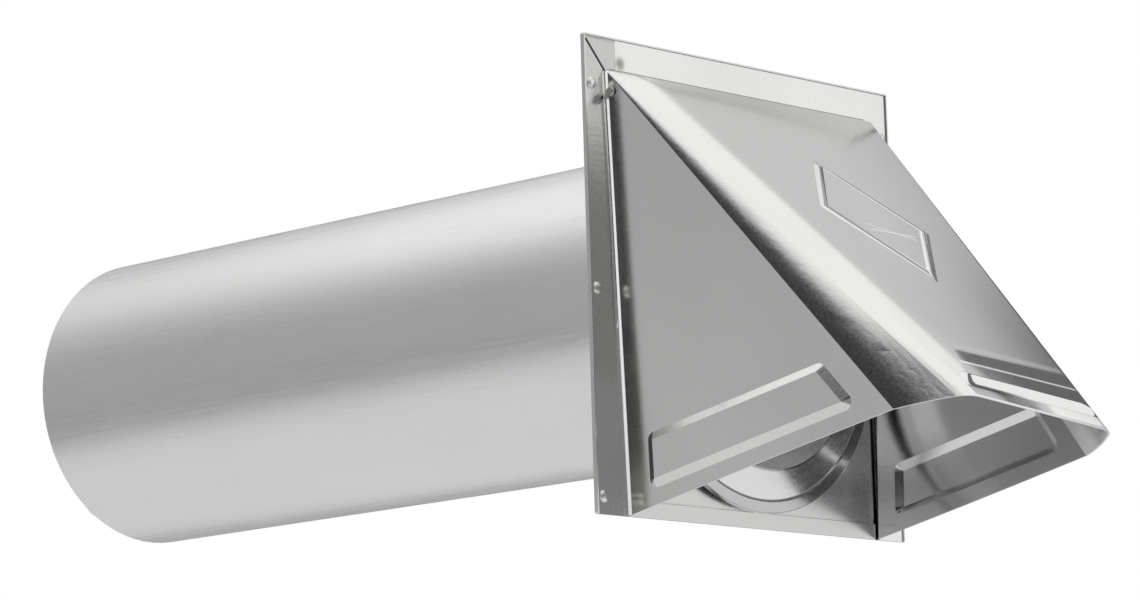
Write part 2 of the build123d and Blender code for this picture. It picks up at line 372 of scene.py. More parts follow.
def scratches_group() -> bpy.types.NodeTree:
    """Builds sparse hairline scratches that run in two slightly different directions.

    Returns:
        The group; its Mask is 1 on a scratch.
    """
    inputs = {
        "Place": (0.0, 0.0, 0.0),
        "Spacing": 0.02,
        "Width": 0.02,
        "Patch Scale": 90.0,
        "Patch Level": 0.6,
    }
    group = new_group("hairline_scratches", inputs, {"Mask": "NodeSocketFloat"})
    ins = group.add("NodeGroupInput").outputs
    scale = group.math("DIVIDE", 1.0, ins["Spacing"])
    patches = {"Vector": ins["Place"], "Scale": ins["Patch Scale"], "Detail": 1.0}
    patchy = group.add("ShaderNodeTexNoise", patches).outputs["Fac"]
    some = group.math("GREATER_THAN", patchy, ins["Patch Level"])
    masks = []
    for turn in (0.35, -0.6):
        drawn_out = {"Vector": ins["Place"], "Rotation": (turn, turn / 2, turn), "Scale": (1.0, 1.0, 0.08)}
        turned = group.add("ShaderNodeMapping", drawn_out)
        cells = group.add("ShaderNodeTexVoronoi", {"Vector": turned.outputs[0], "Scale": scale})
        cells.feature = "DISTANCE_TO_EDGE"
        near = group.math("LESS_THAN", cells.outputs["Distance"], ins["Width"])
        masks.append(group.product(near, some))
    group.add("NodeGroupOutput", {"Mask": group.larger(*masks)})
    return group.tree


@dataclass(frozen=True)
class RoofSpot:
    """A point on the hood's roof, as sockets of the roof_press group, with that group's inputs.

    Climb is measured up the roof from the lip, run across it from the left ridge and beside up from the rib's
    middle line, all in metres. Share is the run's part of the roof's width.
    """

    ins: bpy.types.bpy_prop_collection
    x: Socket
    z: Socket
    climb: Socket
    beside: Socket
    run: Socket
    share: Socket
    facing: Socket


@dataclass(frozen=True)
class RoofPress:
    """What the press left in the roof: rolls, bands, the strip and the rib above the lip, and the rhombus.

    Lengths are in metres, and a lean is how far the normal turns to the left. An edge says how far from its
    middle a line starts to fade and ends. The other spans are where a change starts and ends.
    """

    flat_facing: float = 0.93
    outer_facing: float = 0.5
    ridge_runs: Span = (0.011, 0.025)
    right_shares: Span = (0.2, 1.1)
    low_heights: Span = (-0.035, 0.03)
    low_runs: Span = (0.011, 0.022)
    facet_facings: Span = (0.5, 0.85)
    sag_heights: Span = (-0.045, -0.01)
    band_slant: float = 0.72
    band_start: float = 0.005
    band_fade: Span = (-0.0005, 0.0015)
    band_leans: Levels = (
        (0.0, 0.8),
        (0.018, 0.8),
        (0.03, 0.5),
        (0.40, 0.41),
        (0.56, 0.40),
        (0.575, 0.70),
        (0.59, 0.70),
        (0.605, 0.33),
        (0.76, 0.37),
        (0.80, 0.50),
        (0.85, 0.55),
        (0.92, 0.5),
    )
    lip_edge: float = 0.001
    strip_climb: float = 0.0035
    strip_half_width: float = 0.0025
    strip_begin: Span = (-0.031, -0.029)
    strip_turn: Span = (-0.008, 0.012)
    strip_leans: Span = (-0.2, 0.38)
    strip_fade: Span = (-0.004, 0.010)
    strip_shade: float = 0.12
    rib_edge: Span = (0.97, 1.03)
    ring_size: float = 1.12
    ring_edge: Span = (0.16, 0.26)
    ring_top: Span = (0.0025, 0.0045)
    ring_fade: Span = (-0.016, 0.002)
    rhombus_shape: Point = (42.57, 3.5, 33.18)
    rhombus_inradius: float = 0.0185
    bead_slope: Point = (0.79, 0.065, 0.61)
    bead_depth: float = 0.00155
    bead_edge: Span = (0.0004, 0.0007)
    right_lines: Levels = ((0.0024, 0.3), (-0.0005, -0.16))
    right_line_edge: Span = (0.0003, 0.0006)
    scratches: tuple[Point, ...] = ((0.01365, -0.01, 0.0222), (0.0158, -0.17, 0.0215))
    scratch_edge: Span = (0.00006, 0.00016)
    scratch_begin: Span = (-0.002, 0.004)
    scratch_lean: float = 0.5

    def spot(self, group: NodeTree) -> RoofSpot:
        """Finds where the shaded point lies on the roof.

        Args:
            group: The tree.

        Returns:
            The point.
        """
        ins = group.add("NodeGroupInput").outputs
        axes = group.split(ins["Place"])
        normal = group.add("ShaderNodeNewGeometry").outputs["True Normal"]
        from_lip = group.vector("SUBTRACT", ins["Place"], ins["Lip"])
        slope = group.vector("DOT_PRODUCT", from_lip, ins["Up Slope"])
        climb = group.total(slope, group.product(axes["X"], ins["Lip Rack"]))
        drop = group.math("SUBTRACT", ins["Root Height"], axes["Z"])
        half = group.math("SUBTRACT", ins["Root Half Width"], group.product(drop, ins["Taper"]))
        run = group.total(axes["X"], half)
        return RoofSpot(
            ins=ins,
            x=axes["X"],
            z=axes["Z"],
            climb=climb,
            beside=group.math("SUBTRACT", climb, group.split(ins["Rib Middle"])["Z"]),
            run=run,
            share=group.math("DIVIDE", run, group.product(half, 2.0)),
            facing=group.vector("DOT_PRODUCT", normal, ins["Roof Facing"]),
        )

    def rolls(self, group: NodeTree, spot: RoofSpot) -> Socket:
        """Leans the roof at its left ridge, towards its right edge and low down.

        Args:
            group: The tree.
            spot: The point on the roof.

        Returns:
            The lean.
        """
        roll = group.product(group.fall(spot.run, self.ridge_runs), spot.ins["Ridge Roll"])
        right = group.product(group.rise(spot.share, self.right_shares), spot.ins["Right Fall"])
        low = group.product(group.fall(spot.z, self.low_heights), spot.ins["Low Fall"])
        return group.total(roll, right, group.product(low, group.rise(spot.run, self.low_runs)))

    def bands(self, group: NodeTree, spot: RoofSpot) -> Socket:
        """Leans the lip's edge, and the bands above it from a slanting line on.

        Args:
            group: The tree.
            spot: The point on the roof.

        Returns:
            The lean.
        """
        height = group.math("DIVIDE", spot.climb, spot.ins["Reach"], clamp=True)
        start = group.math("MULTIPLY_ADD", spot.z, self.band_slant, self.band_start)
        begun = group.rise(group.math("SUBTRACT", spot.x, start), self.band_fade)
        shown = group.larger(begun, group.math("LESS_THAN", spot.climb, self.lip_edge))
        return group.product(group.lean_profile(height, self.band_leans), shown)

    def strip(self, group: NodeTree, spot: RoofSpot) -> Socket:
        """Marks the strip between the lip and the rib.

        Args:
            group: The tree.
            spot: The point on the roof.

        Returns:
            The mask, 1 on the strip.
        """
        near = group.math("LESS_THAN", group.gap(spot.climb, self.strip_climb), self.strip_half_width)
        return group.product(near, group.rise(spot.x, self.strip_begin))

    def rib(self, group: NodeTree, spot: RoofSpot) -> Socket:
        """Marks the face of the round-ended rib.

        Args:
            group: The tree.
            spot: The point on the roof.

        Returns:
            The mask, 1 on the rib.
        """
        along = group.gap(spot.x, group.split(spot.ins["Rib Middle"])["X"])
        past = group.larger(group.math("SUBTRACT", along, spot.ins["Rib Half Length"]), 0.0)
        away = group.math("DIVIDE", group.length(past, spot.beside), spot.ins["Rib Half Width"])
        return group.fall(away, self.rib_edge)

    def rib_shade(self, group: NodeTree, spot: RoofSpot, strip: Socket) -> Socket:
        """Marks the shade round the rib's left end and on the strip below it.

        Args:
            group: The tree.
            spot: The point on the roof.
            strip: The strip's mask.

        Returns:
            The mask, 1 where the shade is full.
        """
        skewed = group.total(spot.x, group.product(spot.beside, spot.ins["Rib Skew"]))
        before = group.larger(group.math("SUBTRACT", spot.ins["Rib Foot"], skewed), 0.0)
        away = group.math("DIVIDE", group.length(before, spot.beside), spot.ins["Rib Half Width"])
        ring = group.product(
            group.band(away, self.ring_size, self.ring_edge),
            group.fall(spot.beside, self.ring_top),
            group.fall(spot.x, self.ring_fade),
        )
        return group.larger(ring, group.product(strip, group.fall(spot.x, self.strip_fade), self.strip_shade))

    def weigh(self, group: NodeTree, first: Value, second: Value, weights: Point) -> tuple[Socket, Socket]:
        """Weighs two numbers by a symmetric matrix.

        Args:
            group: The tree.
            first: The first number.
            second: The second number.
            weights: The matrix: its first diagonal value, the mixed one and its last.

        Returns:
            The two weighed numbers.
        """
        own, mixed, other = weights
        upper = group.total(group.product(first, own), group.product(second, mixed))
        return upper, group.total(group.product(first, mixed), group.product(second, other))

    def rhombus(self, group: NodeTree, spot: RoofSpot) -> tuple[Socket, Socket, Socket]:
        """Tilts the bead inside the rhombus's edge and leans the two lines along its right sides.

        Args:
            group: The tree.
            spot: The point on the roof.

        Returns:
            The bead's tilt to the right, its tilt up the slope, and the lines' lean.
        """
        offset = group.vector("SUBTRACT", spot.ins["Place"], spot.ins["Rhombus"])
        up = group.vector("DOT_PRODUCT", offset, spot.ins["Up Slope"])
        sides = self.weigh(group, group.split(offset)["X"], up, self.rhombus_shape)
        around = group.total(*(group.math("ABSOLUTE", side) for side in sides))
        depth = group.product(group.math("SUBTRACT", 1.0, around), self.rhombus_inradius)
        bead = group.product(group.band(depth, self.bead_depth, self.bead_edge), spot.ins["Rhombus Bead"])
        signs = (group.math("SIGN", side) for side in sides)
        right, upwards = self.weigh(group, *signs, self.bead_slope)
        on_right = group.math("GREATER_THAN", sides[0], 0.0)
        lines = []
        for level, strength in self.right_lines:
            lines.append(group.product(group.band(depth, level, self.right_line_edge), on_right, strength))
        return group.product(right, bead), group.product(upwards, bead), group.total(*lines)

    def scratched(self, group: NodeTree, spot: RoofSpot) -> Socket:
        """Leans the scratches through the rhombus, each given by its height, its rise and its right end.

        Args:
            group: The tree.
            spot: The point on the roof.

        Returns:
            The lean.
        """
        begun = group.product(group.rise(spot.x, self.scratch_begin), self.scratch_lean)
        leans = []
        for height, rise, right_end in self.scratches:
            line = group.band(spot.z, group.math("MULTIPLY_ADD", spot.x, rise, height), self.scratch_edge)
            leans.append(group.product(line, begun, group.math("LESS_THAN", spot.x, right_end)))
        return group.total(*leans)

    def build(self) -> bpy.types.NodeTree:
        """Builds the group.

        Returns:
            The group. Tilt leans the normal, Rib is 1 on the rib's face and Dark is 1 in the painted shade
            about it.
        """
        inputs = {
            "Place": (0.0, 0.0, 0.0),
            "Roof Facing": (0.0, -0.712, 0.702),
            "Up Slope": (0.0, 0.702, 0.712),
            "Lip": (0.0, -0.1164, -0.0519),
            "Lip Rack": 0.0617,
            "Reach": 0.034,
            "Root Height": 0.065,
            "Root Half Width": 0.06425,
            "Taper": 0.2694,
            "Ridge Roll": 0.2,
            "Right Fall": -0.12,
            "Facet Sag": -0.6,
            "Low Fall": -0.04,
            "Rib Middle": (0.00205, 0.0, 0.0093),
            "Rib Half Length": 0.02775,
            "Rib Half Width": 0.0031,
            "Rib Foot": -0.0232,
            "Rib Skew": -0.7,
            "Rhombus": (0.0088, -0.0471, 0.0183),
            "Rhombus Bead": -0.55,
        }
        outputs = {"Tilt": "NodeSocketVector", "Rib": "NodeSocketFloat", "Dark": "NodeSocketFloat"}
        group = new_group("roof_press", inputs, outputs)
        spot = self.spot(group)
        strip = self.strip(group, spot)
        below_rib = group.product(strip, group.remap(spot.x, *self.strip_turn, *self.strip_leans))
        right, upwards, lines = self.rhombus(group, spot)
        leans = [part(group, spot) for part in (self.rolls, self.bands, self.scratched)]
        sideways = group.join(X=group.math("SUBTRACT", right, group.total(*leans, below_rib, lines)))
        tilt = group.vector("ADD", group.vector("SCALE", spot.ins["Up Slope"], upwards), sideways)
        flat = group.math("GREATER_THAN", spot.facing, self.flat_facing)
        on_roof = group.product(flat, group.math("GREATER_THAN", spot.run, 0.0))
        beyond = group.math("LESS_THAN", spot.run, 0.0)
        on_facet = group.product(group.rise(spot.facing, self.facet_facings), beyond)
        sag = group.product(group.fall(spot.z, self.sag_heights), on_facet, spot.ins["Facet Sag"])
        outer = group.math("GREATER_THAN", spot.facing, self.outer_facing)
        results = {
            "Tilt": group.vector("ADD", group.vector("SCALE", tilt, on_roof), group.join(X=sag)),
            "Rib": group.product(self.rib(group, spot), outer),
            "Dark": group.product(self.rib_shade(group, spot, strip), outer),
        }
        group.add("NodeGroupOutput", results)
        return group.tree


def inner_face_group() -> bpy.types.NodeTree:
    """Tells the inner face of a shell from its outer face.

    Returns:
        The group; its Mask is 1 where the surface faces the shell's heart.
    """
    inputs = {"Place": (0.0, 0.0, 0.0), "Heart": (0.0, 0.0, 0.0)}
    group = new_group("inner_face", inputs, {"Mask": "NodeSocketFloat"})
    ins = group.add("NodeGroupInput").outputs
    facing = group.add("ShaderNodeNewGeometry").outputs["True Normal"]
    outwards = group.vector("DOT_PRODUCT", group.vector("SUBTRACT", ins["Place"], ins["Heart"]), facing)
    group.add("NodeGroupOutput", {"Mask": group.math("LESS_THAN", outwards, 0.0)})
    return group.tree


def joint_shade_group() -> bpy.types.NodeTree:
    """Builds the painted shade of an open joint or fold: a band about a line that is mirrored to both sides.

    Returns:
        The group; its Mask is 1 in the joint.
    """
    inputs = {
        "Place": (0.0, 0.0, 0.0),
        "Point": (0.0, 0.0, 0.0),
        "Across": (1.0, 0.0, 0.0),
        "Half Width": 0.001,
        "Top": 1.0,
        "Right End": 1.0,
    }
    group = new_group("joint_shade", inputs, {"Mask": "NodeSocketFloat"})
    ins = group.add("NodeGroupInput").outputs
    spot = group.split(ins["Place"])
    mirrored = group.join(X=group.math("ABSOLUTE", spot["X"]), Y=spot["Y"], Z=spot["Z"])
    away = group.vector("DOT_PRODUCT", group.vector("SUBTRACT", mirrored, ins["Point"]), ins["Across"])
    share = group.math("DIVIDE", group.math("ABSOLUTE", away), ins["Half Width"])
    below = group.math("LESS_THAN", spot["Z"], ins["Top"])
    inside = group.product(below, group.math("LESS_THAN", spot["X"], ins["Right End"]))
    group.add("NodeGroupOutput", {"Mask": group.product(group.fall(share, JOINT_EDGE), inside)})
    return group.tree


def set_stops(ramp: bpy.types.ColorRamp, levels: Levels) -> None:
    """Gives a colour ramp its grey levels.

    Args:
        ramp: The ramp.
        levels: Position and level of each stop, in rising order.
    """
    while len(ramp.elements) > 1:
        ramp.elements.remove(ramp.elements[-1])
    for index, (spot, level) in enumerate(levels):
        stop = ramp.elements[0] if index == 0 else ramp.elements.new(spot)
        stop.position = spot
        stop.color = (level, level, level, 1.0)


@dataclass(frozen=True)
class Joint:
    """The painted shade line of an open joint or fold, mirrored to both sides. Lengths are in metres."""

    point: Point
    across: Point
    half_width: float
    top: float = 1.0
    right_end: float = 1.0

    def mask(self, tree: NodeTree, place: Socket) -> Socket:
        """Lays the line in a material.

        Args:
            tree: The material.
            place: Object coordinates.

        Returns:
            The mask, 1 in the joint.
        """
        values = {
            "Place": place,
            "Point": self.point,
            "Across": self.across,
            "Half Width": self.half_width,
            "Top": self.top,
            "Right End": self.right_end,
        }
        return tree.place("joint_shade", values)["Mask"]


@dataclass(frozen=True)
class SheetFinish:
    """Bare bright metal as it comes off the roll.

    Lengths are in metres.
    """

    slot: Slot
    pale: Point = (0.88, 0.88, 0.875)
    dull: Point = (0.80, 0.805, 0.79)
    roughness: float = 0.26
    roughness_spread: float = 0.06
    rough_streaks: Span = (0.2, 0.8)
    grain: Grain = Grain.EVEN
    grain_size: float = 0.0012
    grain_depth: float = 1.0e-6
    wave_size: float = 0.045
    wave_depth: float = 4.0e-5
    mottle_size: float = 0.006
    mottle_depth: float = 4.0e-6
    scratch_spacing: float = 0.02
    scratch_depth: float = 1.5e-6

    def build(self) -> bpy.types.Material:
        """Builds the material.

        Returns:
            The material, named after its slot.
        """
        material = bpy.data.materials.new(self.slot.value + "_finish")
        material.use_nodes = True
        tree = NodeTree(material.node_tree)
        shader = material.node_tree.nodes["Principled BSDF"]
        shader.inputs["Metallic"].default_value = 1.0
        place = tree.add("ShaderNodeTexCoord").outputs["Object"]
        values = {
            "Place": place,
            "Stretch": self.grain.value,
            "Grain Size": self.grain_size,
            "Grain Depth": self.grain_depth,
            "Wave Size": self.wave_size,
            "Wave Depth": self.wave_depth,
            "Mottle Size": self.mottle_size,
            "Mottle Depth": self.mottle_depth,
        }
        sheet = tree.place("rolled_sheet", values)
        marks = tree.place("hairline_scratches", {"Place": place, "Spacing": self.scratch_spacing})
        speckle = tree.product(tree.total(sheet["Cloud"], sheet["Streak"]), 0.5)
        colour = tree.blend_colours(speckle, (*self.dull, 1.0), (*self.pale, 1.0))
        levels = (self.roughness - self.roughness_spread, self.roughness + self.roughness_spread)
        roughness = tree.remap(sheet["Streak"], *self.rough_streaks, *levels)
        height = tree.total(sheet["Height"], tree.product(marks["Mask"], -self.scratch_depth))
        height = self.press(tree, place, height)
        bump = tree.add("ShaderNodeBump", {"Height": height, "Distance": 1.0, "Strength": 1.0})
        tree.feed(shader.inputs["Base Color"], self.shade(tree, place, colour))
        tree.feed(shader.inputs["Roughness"], roughness)
        tree.feed(shader.inputs["Normal"], self.lean(tree, place, bump.outputs["Normal"]))
        return material

    def press(self, tree: NodeTree, place: Socket, height: Socket) -> Socket:
        """Adds the marks of this sheet's own forming; plain sheet has none."""
        return height

    def lean(self, tree: NodeTree, place: Socket, normal: Socket) -> Socket:
        """Leans the normal where the sheet is rolled or pressed; plain sheet stays flat."""
        return normal

    def shade(self, tree: NodeTree, place: Socket, colour: Socket) -> Socket:
        """Darkens parts of the sheet, and paints shade where it lies deep in a joint or crease; plain sheet
        has none.
        """
        return colour


@dataclass(frozen=True)
class HoodFinish(SheetFinish):
    """The hood's sheet: the roof's pressed forms, the rolled flange with its streaks, and painted shade on
    the inside and along its joints and creases.
    """

    flange_level: float = -0.0013
    flange_length: float = 0.15
    fold_reach: float = -0.0585
    brake_stretch: Point = (0.07, 1.0, 1.0)
    brake_size: float = 0.0011
    brake_depth: float = 3.0e-5
    rib_facing: Point = (-0.2, -0.70, 0.69)
    bend_facing: Point = (-0.617, -0.771, 0.154)
    bend_level: float = -0.0021
    bend_edge: Span = (0.0004, 0.0007)
    bend_right_end: float = -0.05
    bend_top: float = 0.0638
    dent: Point = (-0.0565, -0.001, 0.0672)
    dent_reach: float = 0.0065
    dent_lean: float = 0.3
    mitre: Joint = Joint(MITRE_POINT, MITRE_ACROSS, 0.00045, 0.0735, 0.0)
    root_crease: Joint = Joint((0.0, 0.0, 0.0648), (0.0, 0.0, 1.0), 0.00022)
    root_half: float = 0.0615
    crease_shade_share: float = 0.6
    rib_shade_share: float = 0.9
    heart: Point = (0.0, -0.035, -0.05)
    inner_shade_tone: float = 0.84
    flange_roll: Levels = (
        (0.0, 0.34),
        (0.14, 0.5),
        (0.45, 0.5),
        (0.66, 0.56),
        (0.80, 0.64),
        (0.90, 0.80),
        (1.0, 0.86),
    )

    def on_flange(self, tree: NodeTree, place: Socket) -> Socket:
        """Tells the flanges from the folded shell: 1 on a flange."""
        return tree.math("GREATER_THAN", tree.split(place)["Y"], self.flange_level)

    def press(self, tree: NodeTree, place: Socket, height: Socket) -> Socket:
        """Adds the brake's streaks on the flanges.

        Args:
            tree: The material.
            place: Object coordinates.
            height: The sheet's own relief.

        Returns:
            The relief with the marks.
        """
        drawn = tree.vector("MULTIPLY", place, self.brake_stretch)
        inputs = {"Vector": drawn, "Scale": 1.0 / self.brake_size, "Detail": 2.0}
        streak = tree.add("ShaderNodeTexNoise", inputs).outputs["Fac"]
        return tree.total(height, tree.product(streak, self.on_flange(tree, place), self.brake_depth))

    def lean(self, tree: NodeTree, place: Socket, normal: Socket) -> Socket:
        """Leans the normal over the roof's forms, along the left flange and its fold, and in the dent.

        Args:
            tree: The material.
            place: Object coordinates.
            normal: The sheet's own normal.

        Returns:
            The leaning normal.
        """
        roof = tree.place("roof_press", {"Place": place})
        spot = tree.split(place)
        height = tree.math("MULTIPLY_ADD", spot["Z"], 1.0 / self.flange_length, 0.5, clamp=True)
        left = tree.product(tree.math("LESS_THAN", spot["X"], self.fold_reach), self.on_flange(tree, place))
        rise = tree.product(tree.lean_profile(height, self.flange_roll), left)
        away = tree.vector("SUBTRACT", place, self.dent)
        near = tree.math("SQRT", tree.vector("DOT_PRODUCT", away, away))
        dent = tree.remap(near, 0.0, self.dent_reach, self.dent_lean, 0.0)
        tilt = tree.join(X=tree.product(dent, self.on_flange(tree, place)), Z=rise)
        leaning = tree.vector("ADD", normal, tree.vector("ADD", roof["Tilt"], tilt))
        bend = tree.product(
            tree.band(spot["Y"], self.bend_level, self.bend_edge),
            tree.math("LESS_THAN", spot["X"], self.bend_right_end),
            tree.math("LESS_THAN", spot["Z"], self.bend_top),
        )
        turned = tree.turn(bend, tree.turn(roof["Rib"], leaning, self.rib_facing), self.bend_facing)
        return tree.vector("NORMALIZE", turned)

    def shade(self, tree: NodeTree, place: Socket, colour: Socket) -> Socket:
        """Paints shade on the hood's inside, in its open mitre, along its root's crease and about the foot of
        the rib.

        Args:
            tree: The material.
            place: Object coordinates.
            colour: The sheet's own colour.

        Returns:
            The colour with its painted shade.
        """
        on_flange = self.on_flange(tree, place)
        # Painted shade: the hood's inside, off the flanges, is darkened to the inner shade tone.
        inside = tree.place("inner_face", {"Place": place, "Heart": self.heart})["Mask"]
        inside = tree.product(inside, tree.math("SUBTRACT", 1.0, on_flange))
        # Painted shade in the open mitre, along the root's crease and about the foot of the rib.
        mitre = tree.product(self.mitre.mask(tree, place), on_flange)
        beside = tree.math("ABSOLUTE", tree.split(place)["X"])
        between = tree.math("LESS_THAN", beside, self.root_half)
        crease = tree.product(self.root_crease.mask(tree, place), self.crease_shade_share, between)
        rib = tree.product(tree.place("roof_press", {"Place": place})["Dark"], self.rib_shade_share)
        colour = tree.tint(inside, colour, self.inner_shade_tone)
        return tree.tint(tree.larger(mitre, crease, rib), colour, JOINT_SHADE_TONE)


@dataclass(frozen=True)
class PlateFinish(SheetFinish):
    """The plate's sheet, with painted shade behind the open mitre and along the hood's folds."""

    joints: tuple[Joint, ...] = (
        Joint(MITRE_POINT, MITRE_ACROSS, 0.0009, 0.0722, 0.0),
        Joint((0.0594, 0.0, 0.0), (1.0, 0.0, 0.0), 0.0008, 0.06),
    )
    foot_heights: Span = (-0.075, -0.035)
    foot_lean: float = -0.3
    front_level: float = -0.0003

    def lean(self, tree: NodeTree, place: Socket, normal: Socket) -> Socket:
        """Leans the normal down towards the plate's folded foot."""
        tilt = tree.join(Z=tree.product(tree.fall(tree.split(place)["Z"], self.foot_heights), self.foot_lean))
        return tree.vector("NORMALIZE", tree.vector("ADD", normal, tilt))

    def shade(self, tree: NodeTree, place: Socket, colour: Socket) -> Socket:
        """Paints shade along the joints on the plate's front.

        Args:
            tree: The material.
            place: Object coordinates.
            colour: The sheet's own colour.

        Returns:
            The colour with the painted shade.
        """
        # Painted shade behind the open mitre and along the hood's folds, on the front only.
        front = tree.math("LESS_THAN", tree.split(place)["Y"], self.front_level)
        dark = tree.larger(*(joint.mask(tree, place) for joint in self.joints))
        return tree.tint(tree.product(dark, front), colour, JOINT_SHADE_TONE)


def dress(node: str, material: bpy.types.Material) -> None:
    """Gives a CAD node its finish.

    Args:
        node: The node's name.
        material: The finish.
    """
    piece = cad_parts[node]
    piece.data.materials.clear()
    piece.data.materials.append(material)
    log.info("%s dressed in %s", node, material.name)


@dataclass
class FoldedHood:
    """The hood and the plate that it is riveted to."""

    hood: SheetFinish = HoodFinish(
        Slot.HOOD,
        pale=(0.95, 0.95, 0.94),
        dull=(0.70, 0.705, 0.69),
        roughness=0.17,
        roughness_spread=0.03,
        grain_size=0.0008,
        grain_depth=1.0e-5,
        mottle_size=0.0016,
        mottle_depth=4.0e-6,
        wave_size=0.05,
        wave_depth=9.0e-5,
    )
    # The plate's colours are set darker than the hood's as painted shade, as the plate lies mostly inside the
    # hood.
    plate: SheetFinish = PlateFinish(
        Slot.PLATE,
        pale=(0.80, 0.80, 0.79),
        dull=(0.68, 0.68, 0.67),
        roughness=0.3,
        roughness_spread=0.04,
        grain_size=0.0009,
        grain_depth=4.0e-6,
        mottle_depth=1.0e-5,
        wave_size=0.05,
        wave_depth=6.0e-5,
        scratch_depth=0.0,
    )

    def dress(self) -> None:
        """Dresses the two sheets."""
        dress("hood", self.hood.build())
        dress("wall_plate", self.plate.build())


@dataclass
class RivetRows:
    """Domed rivets in a row down each side flange. Lengths are in metres."""

    count: int = 3
    pitch: float = 64.5 * MM
    middle: float = -5.0 * MM
    reach: float = 69.8 * MM
    front: float = -1.0 * MM
    head_radius: float = 1.9 * MM
    head_height: float = 0.8 * MM
    shank_radius: float = 1.1 * MM
    weld_distance: float = 0.001 * MM
    segments: int = 28
    rings: int = 8
    finish: SheetFinish = SheetFinish(Slot.RIVET, roughness=0.3, wave_depth=5.0e-6)

    def tree(self, material: bpy.types.Material) -> bpy.types.NodeTree:
        """Builds the Geometry Nodes tree of the rivet rows.

        Args:
            material: The rivets' finish.

        Returns:
            The tree, with the rivets' sizes as named inputs.
        """
        rows = bpy.data.node_groups.new("rivet_rows", "GeometryNodeTree")
        nodes = NodeTree(rows)
        rows.interface.new_socket("Count", in_out="INPUT", socket_type="NodeSocketInt")
        for name in ("Pitch", "Middle", "Reach", "Front", "Head Radius", "Head Height", "Shank Radius"):
            rows.interface.new_socket(name, in_out="INPUT", socket_type="NodeSocketFloat")
        rows.interface.new_socket("Geometry", in_out="OUTPUT", socket_type="NodeSocketGeometry")
        ins = nodes.add("NodeGroupInput").outputs
        fall = nodes.product(nodes.math("SUBTRACT", ins["Count"], 1.0), ins["Pitch"], 0.5)
        lowest = nodes.math("SUBTRACT", ins["Middle"], fall)
        spots = nodes.add("GeometryNodeJoinGeometry")
        for side in (-1.0, 1.0):
            start = nodes.join(X=nodes.product(ins["Reach"], side), Y=ins["Front"], Z=lowest)
            run = {"Count": ins["Count"], "Start Location": start, "Offset": nodes.join(Z=ins["Pitch"])}
            line = nodes.add("GeometryNodeMeshLine", run, mode="OFFSET")
            nodes.feed(spots.inputs[0], line.outputs["Mesh"])
        on_rows = nodes.add("GeometryNodeInstanceOnPoints")
        nodes.feed(on_rows.inputs["Points"], spots.outputs[0])
        nodes.feed(on_rows.inputs["Instance"], self.rivet(nodes, ins))
        real = nodes.add("GeometryNodeRealizeInstances", {"Geometry": on_rows.outputs["Instances"]})
        smooth = nodes.add("GeometryNodeSetShadeSmooth", {"Geometry": real.outputs["Geometry"]})
        painted = nodes.add("GeometryNodeSetMaterial", {"Geometry": smooth.outputs["Geometry"]})
        painted.inputs["Material"].default_value = material
        nodes.add("NodeGroupOutput", {"Geometry": painted.outputs["Geometry"]})
        return rows

    def rivet(self, nodes: NodeTree, ins: bpy.types.bpy_prop_collection) -> Socket:
        """Adds one rivet at the origin, its head towards -Y and its shank towards +Y.

        Args:
            nodes: The tree.
            ins: The tree's inputs.

        Returns:
            The rivet's geometry.
        """
        vertices = {"Vertices X": self.segments + 1, "Vertices Y": self.rings + 1}
        grid = nodes.add("GeometryNodeMeshGrid", {"Size X": 1.0, "Size Y": 1.0, **vertices})
        place = nodes.split(nodes.add("GeometryNodeInputPosition").outputs[0])
        turn = nodes.product(place["X"], 2 * math.pi)
        climb = nodes.product(nodes.total(place["Y"], 0.5), math.pi / 2)
        radius = nodes.product(nodes.math("COSINE", climb), ins["Head Radius"])
        on_dome = nodes.join(
            X=nodes.product(nodes.math("SINE", turn), radius),
            Y=nodes.product(nodes.math("SINE", climb), ins["Head Height"], -1.0),
            Z=nodes.product(nodes.math("COSINE", turn), radius),
        )
        dome = nodes.add("GeometryNodeSetPosition", {"Geometry": grid.outputs["Mesh"], "Position": on_dome})
        depth = nodes.product(ins["Front"], -1.0)
        size = {"Vertices": self.segments, "Radius": ins["Shank Radius"], "Depth": depth}
        shank = nodes.add("GeometryNodeMeshCylinder", size)
        middle = nodes.join(Y=nodes.product(depth, 0.5))
        laid = nodes.add("GeometryNodeTransform", {"Geometry": shank.outputs["Mesh"], "Translation": middle})
        laid.inputs["Rotation"].default_value = (math.pi / 2, 0.0, 0.0)
        whole = nodes.add("GeometryNodeJoinGeometry")
        nodes.feed(whole.inputs[0], dome.outputs["Geometry"])
        nodes.feed(whole.inputs[0], laid.outputs["Geometry"])
        welded = {"Geometry": whole.outputs[0], "Distance": self.weld_distance}
        return nodes.add("GeometryNodeMergeByDistance", welded).outputs["Geometry"]

    def build(self) -> bpy.types.Object:
        """Builds the rivets in place of the plain ones.

        Returns:
            The rivets' object.
        """
        material = self.finish.build()
        tree = self.tree(material)
        values = {
            "Count": self.count,
            "Pitch": self.pitch,
            "Middle": self.middle,
            "Reach": self.reach,
            "Front": self.front,
            "Head Radius": self.head_radius,
            "Head Height": self.head_height,
            "Shank Radius": self.shank_radius,
        }
        piece = mesh_from_nodes("rivet_rows", tree, values)
        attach(piece, Body.CAP.value)
        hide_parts("edge_rivets")
        log.info("%s has %d faces", piece.name, len(piece.data.polygons))
        return piece


